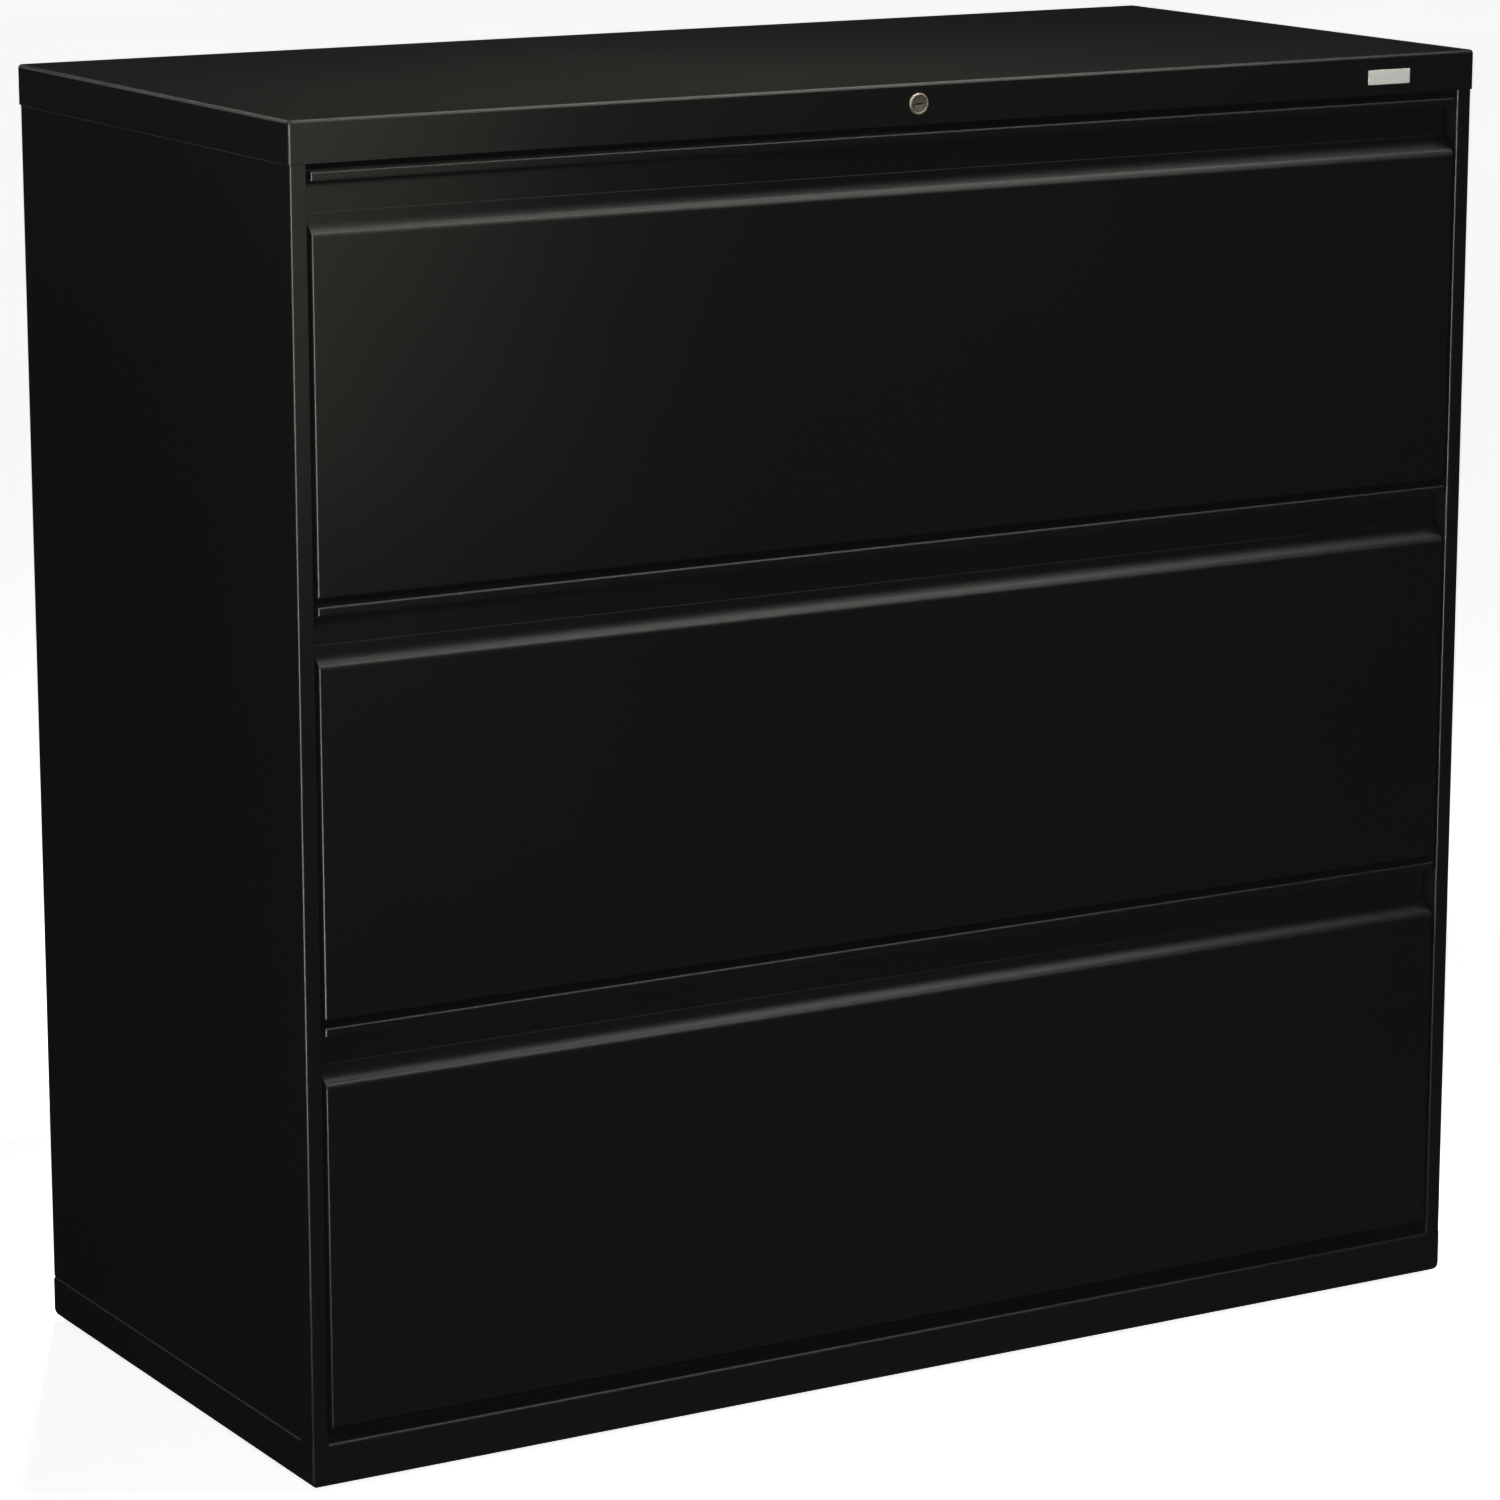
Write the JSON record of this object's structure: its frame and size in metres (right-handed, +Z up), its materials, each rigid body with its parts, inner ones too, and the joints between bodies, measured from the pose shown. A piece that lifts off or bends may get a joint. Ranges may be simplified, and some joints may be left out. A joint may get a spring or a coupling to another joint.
{
  "type": "lateral filing cabinet",
  "caption": "Black steel lateral filing cabinet: wide drawers with full-width pulls on telescopic slides, hang rails, a lock in the lid that lifts a lock bar, and levelling glides.",
  "frame": {"origin": "on the floor under the middle of the whole cabinet, the lock's rim included", "axes": "+Z up, +X to the right seen from the front, +Y to the back; the drawers open towards -Y"},
  "size_m": [1.0668, 0.491, 1.0382],
  "materials": {
    "black_paint": "satin black powder coat",
    "inner_paint": "matt black powder coat",
    "zinc_steel": "zinc plated steel",
    "antique_nickel": "antique nickel plating",
    "plate": "satin anodised",
    "weight": "raw casting",
    "glide": "zinc plated steel"
  },
  "bodies": {
    "case": {"top_cover": "black_paint", "back_panel": "black_paint", "base": "black_paint", "left_side_panel": "black_paint", "right_side_panel": "black_paint", "bottom_pan": "inner_paint", "top_rail": "inner_paint", "front_left_upright": "inner_paint", "front_right_upright": "inner_paint", "rear_left_upright": "inner_paint", "rear_right_upright": "inner_paint", "counterweight": "weight", "nameplate": "plate", "lock_housing": "antique_nickel", "drawer_1_left_case_slide": "zinc_steel", "drawer_1_right_case_slide": "zinc_steel", "drawer_2_left_case_slide": "zinc_steel", "drawer_2_right_case_slide": "zinc_steel", "drawer_3_left_case_slide": "zinc_steel", "drawer_3_right_case_slide": "zinc_steel"},
    "drawer_1": {"drawer_1_front": "black_paint", "drawer_1_pan": "inner_paint", "drawer_1_left_side": "inner_paint", "drawer_1_left_hang_rail": "zinc_steel", "drawer_1_left_drawer_slide": "zinc_steel", "drawer_1_right_side": "inner_paint", "drawer_1_right_hang_rail": "zinc_steel", "drawer_1_right_drawer_slide": "zinc_steel"},
    "drawer_1_middle": {"drawer_1_left_middle_slide": "zinc_steel", "drawer_1_right_middle_slide": "zinc_steel"},
    "drawer_2": {"drawer_2_front": "black_paint", "drawer_2_pan": "inner_paint", "drawer_2_left_side": "inner_paint", "drawer_2_left_hang_rail": "zinc_steel", "drawer_2_left_drawer_slide": "zinc_steel", "drawer_2_right_side": "inner_paint", "drawer_2_right_hang_rail": "zinc_steel", "drawer_2_right_drawer_slide": "zinc_steel"},
    "drawer_2_middle": {"drawer_2_left_middle_slide": "zinc_steel", "drawer_2_right_middle_slide": "zinc_steel"},
    "drawer_3": {"drawer_3_front": "black_paint", "drawer_3_pan": "inner_paint", "drawer_3_left_side": "inner_paint", "drawer_3_left_hang_rail": "zinc_steel", "drawer_3_left_drawer_slide": "zinc_steel", "drawer_3_right_side": "inner_paint", "drawer_3_right_hang_rail": "zinc_steel", "drawer_3_right_drawer_slide": "zinc_steel"},
    "drawer_3_middle": {"drawer_3_left_middle_slide": "zinc_steel", "drawer_3_right_middle_slide": "zinc_steel"},
    "lock_plug": {"lock_plug": "antique_nickel", "lock_cam": "zinc_steel"},
    "lock_transfer_bar": {"lock_transfer_bar": "zinc_steel"},
    "lock_bar": {"lock_bar": "zinc_steel"},
    "front_left_glide": {"front_left_glide": "glide"},
    "front_right_glide": {"front_right_glide": "glide"},
    "rear_left_glide": {"rear_left_glide": "glide"},
    "rear_right_glide": {"rear_right_glide": "glide"}
  },
  "joints": [
    {"name": "drawer_1_slide", "type": "slide", "parent": "case", "child": "drawer_1", "axis": [0, -1, 0], "range_m": [0, 0.4]},
    {"name": "drawer_1_middle_slide", "type": "slide", "parent": "case", "child": "drawer_1_middle", "axis": [0, -1, 0], "range_m": [0, 0.2]},
    {"name": "drawer_2_slide", "type": "slide", "parent": "case", "child": "drawer_2", "axis": [0, -1, 0], "range_m": [0, 0.4]},
    {"name": "drawer_2_middle_slide", "type": "slide", "parent": "case", "child": "drawer_2_middle", "axis": [0, -1, 0], "range_m": [0, 0.2]},
    {"name": "drawer_3_slide", "type": "slide", "parent": "case", "child": "drawer_3", "axis": [0, -1, 0], "range_m": [0, 0.4]},
    {"name": "drawer_3_middle_slide", "type": "slide", "parent": "case", "child": "drawer_3_middle", "axis": [0, -1, 0], "range_m": [0, 0.2]},
    {"name": "lock_bar_lift", "type": "slide", "parent": "case", "child": "lock_bar", "axis": [0, 0, 1], "range_m": [0, 0.01414]},
    {"name": "lock_transfer_slide", "type": "slide", "parent": "case", "child": "lock_transfer_bar", "axis": [-1, 0, 0], "range_m": [0, 0.01414]},
    {"name": "lock_turn", "type": "hinge", "parent": "case", "child": "lock_plug", "pos_m": [0, -0.2435, 1.0222], "axis": [0, 1, 0], "range_deg": [0, 90]},
    {"name": "front_left_glide_screw", "type": "slide", "parent": "case", "child": "front_left_glide", "axis": [0, 0, -1], "range_m": [0, 0.012]},
    {"name": "front_right_glide_screw", "type": "slide", "parent": "case", "child": "front_right_glide", "axis": [0, 0, -1], "range_m": [0, 0.012]},
    {"name": "rear_left_glide_screw", "type": "slide", "parent": "case", "child": "rear_left_glide", "axis": [0, 0, -1], "range_m": [0, 0.012]},
    {"name": "rear_right_glide_screw", "type": "slide", "parent": "case", "child": "rear_right_glide", "axis": [0, 0, -1], "range_m": [0, 0.012]}
  ],
  "couplings": [
    {"joint": "drawer_1_middle_slide", "follows": "drawer_1_slide", "ratio": 0.5},
    {"joint": "drawer_2_middle_slide", "follows": "drawer_2_slide", "ratio": 0.5},
    {"joint": "drawer_3_middle_slide", "follows": "drawer_3_slide", "ratio": 0.5},
    {"joint": "lock_transfer_slide", "follows": "lock_bar_lift", "ratio": 1},
    {"joint": "lock_turn", "follows": "lock_bar_lift", "rad_per_m": 111.07}
  ]
}
